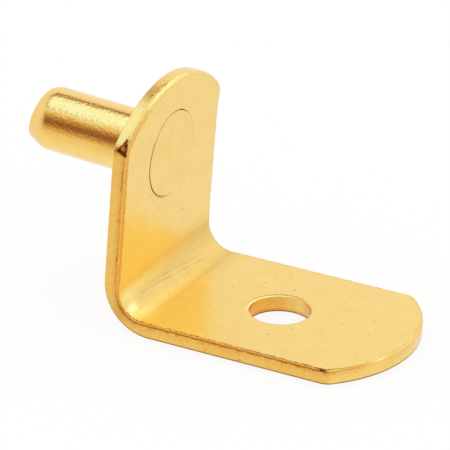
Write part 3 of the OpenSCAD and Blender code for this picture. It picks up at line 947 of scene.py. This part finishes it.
profile, rimRadius = pegProfile(peg, plate["thickness"])
profileMesh = bpy.data.meshes.new("pegProfile")
profileMesh.from_pydata(profile, [(k, k + 1) for k in range(len(profile) - 1)], [])
tree, sockets = turnTree(platedPeg("brassPlatedPeg", brass))
turned = treeMesh("rivetedPeg", profileMesh, tree, {
    sockets["steps"]: peg["steps"],
    sockets["rows"]: len(profile),
    sockets["rim"]: rimRadius,
    sockets["slope"]: math.tan(math.radians(peg["shearAngle"])),
    sockets["turn"]: math.radians(peg["shearTurn"]),
    sockets["tip"]: math.tan(math.radians(peg["tipAngle"])),
})
finishPiece(turned, Matrix.Scale(mm, 4) @ Matrix.Rotation(-bend, 4, "Y"), peg["sharpAngle"])
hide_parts("peg")
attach(turned, "root")
print("peg turned", len(turned.data.polygons))


studio = {
    "floor": "#FFFFFF", "floorSize": 6.0, "floorGlow": 0.85,   # the size in m
    "room": "#FFFFFF", "roomLight": 1.0,
    # directions of the two sides that metal mirrors, and the cosines between which the front fades in
    "toFront": (-0.17, -0.985, 0.0), "toBack": (-0.42, 0.91, 0.0), "frontFade": (0.42, 0.68),
    # the plain room that metal mirrors has four tones; on each of its two sides they lie at these
    # heights, from straight down (0) to straight up (1)
    "tones": {"pale": "#DBDBEB", "warm": "#D3C5B8", "tan": "#B08C73", "dark": "#7C5243"},
    "front": [(0.06, "pale"), (0.33, "warm"), (0.46, "tan"), (0.57, "dark"), (0.64, "dark"),
              (0.76, "tan"), (0.815, "warm"), (0.865, "pale")],
    "back": [(0.856, "pale"), (0.882, "dark"), (0.898, "dark"), (0.92, "tan")],
    "mirrorLight": 1.4,
    "above": "#B4C9FF", "aboveLight": 2.3, "aboveLean": -0.12, "aboveFade": (0.785, 0.83),
    # soft patches of light: colour, strength, direction, and the cosines between which each fades in
    "patches": {
        "betweenLegs": ("#C7D5FC", 1.9, (0.54, 0.79, 0.30), 0.92, 0.985),  # the legs mirror each other
        "pastPeg": ("#D9D8F2", 1.4, (-1.0, 0.0, 0.0), 0.49, 0.70),
        "foldHigh": ("#C9DCFF", 2.3, (-0.04, 0.80, 0.60), 0.955, 0.99),
        "foldLow": ("#C9DCFF", 2.1, (0.59, 0.80, -0.03), 0.955, 0.99),
        "glint": ("#F4FFEA", 1.5, (0.05, 0.60, 0.80), 0.972, 0.992),
        "card": ("#A3B0FF", 8.5, (0.52, 0.49, 0.70), 0.974, 0.995),        # glints in the fold's front
    },
}


def studioWorld(s):
    # an even white room, in which metal alone mirrors the two sides, the light above and the patches
    world = bpy.data.worlds.new("studio")
    bpy.context.scene.world = world
    world.use_nodes = True
    tree = world.node_tree
    tree.nodes.clear()
    where = addNode(tree, "ShaderNodeTexCoord").outputs["Generated"]
    split = addNode(tree, "ShaderNodeSeparateXYZ", None, {0: where})
    made = {"z": split.outputs[2]}
    directions = {name: s[name] for name in ("toFront", "toBack")}
    directions.update({name: patch[2] for name, patch in s["patches"].items()})
    for name, direction in directions.items():
        made[name] = addNode(tree, "ShaderNodeVectorMath", {"operation": "DOT_PRODUCT"}, {
            0: where, 1: direction}).outputs["Value"]
    made["raised"] = addNode(tree, "ShaderNodeMath", {"operation": "MULTIPLY_ADD"}, {
        0: made["toBack"], 1: s["aboveLean"], 2: made["z"]}).outputs[0]
    ranges = [("height", "z", -1.0, 1.0), ("frontShare", "toFront", *s["frontFade"]),
              ("aboveShare", "raised", *s["aboveFade"])]
    ranges += [(name + "Share", name, patch[3], patch[4]) for name, patch in s["patches"].items()]
    for name, source, low, high in ranges:
        kind = {"interpolation_type": "LINEAR" if name == "height" else "SMOOTHSTEP"}
        made[name] = addNode(tree, "ShaderNodeMapRange", kind, {
            "Value": made[source], "From Min": low, "From Max": high,
            "To Min": 0.0, "To Max": 1.0}).outputs[0]
    ramps = []
    for name in ("back", "front"):
        ramp = addNode(tree, "ShaderNodeValToRGB", None, {0: made["height"]})
        for k, (at, tone) in enumerate(s[name]):
            element = ramp.color_ramp.elements[k] if k < 2 else ramp.color_ramp.elements.new(1.0)
            element.position = at
            element.color = linear(s["tones"][tone])
        ramps.append(ramp.outputs[0])
    around = addNode(tree, "ShaderNodeMix", {"data_type": "RGBA"}, {
        "Factor": made["frontShare"], "A": ramps[0], "B": ramps[1]})
    mirrored = addNode(tree, "ShaderNodeBackground", None, {
        0: around.outputs["Result"], 1: s["mirrorLight"]})
    lights = {"above": (s["above"], s["aboveLight"])}
    lights.update({name: patch[:2] for name, patch in s["patches"].items()})
    for name, (colour, strength) in lights.items():
        light = addNode(tree, "ShaderNodeBackground", None, {0: linear(colour), 1: strength})
        mirrored = addNode(tree, "ShaderNodeMixShader", None, {
            0: made[name + "Share"], 1: mirrored.outputs[0], 2: light.outputs[0]})
    plain = addNode(tree, "ShaderNodeBackground", None, {0: linear(s["room"]), 1: s["roomLight"]})
    path = addNode(tree, "ShaderNodeLightPath")
    pick = addNode(tree, "ShaderNodeMixShader", None, {
        0: path.outputs["Is Glossy Ray"], 1: plain.outputs[0], 2: mirrored.outputs[0]})
    addNode(tree, "ShaderNodeOutputWorld", None, {0: pick.outputs[0]})


def layFloor(s, height):
    # white paper that also glows a little for the camera, and isn't mirrored
    mesh = bpy.data.meshes.new("floor")
    h = s["floorSize"] / 2
    corners = ((-h, -h), (h, -h), (h, h), (-h, h))
    mesh.from_pydata([(x, y, height) for x, y in corners], [], [(0, 1, 2, 3)])
    floor = bpy.data.objects.new("floor", mesh)
    bpy.context.scene.collection.objects.link(floor)
    material, tree = shaderTree("paperFloor")
    paper = addNode(tree, "ShaderNodeBsdfDiffuse", None, {0: linear(s["floor"])})
    glow = addNode(tree, "ShaderNodeEmission", None, {0: linear(s["floor"]), 1: 1.0})
    path = addNode(tree, "ShaderNodeLightPath")
    share = addNode(tree, "ShaderNodeMath", {"operation": "MULTIPLY"}, {
        0: path.outputs["Is Camera Ray"], 1: s["floorGlow"]})
    mixed = addNode(tree, "ShaderNodeMixShader", None, {
        0: share.outputs[0], 1: paper.outputs[0], 2: glow.outputs[0]})
    addNode(tree, "ShaderNodeOutputMaterial", None, {0: mixed.outputs[0]})
    mesh.materials.append(material)
    floor.visible_glossy = False


studioWorld(studio)
layFloor(studio, (-rootZ - plate["holeBurr"]) * mm)
scene = bpy.context.scene
scene.view_settings.view_transform = "Standard"
print("studio lit")
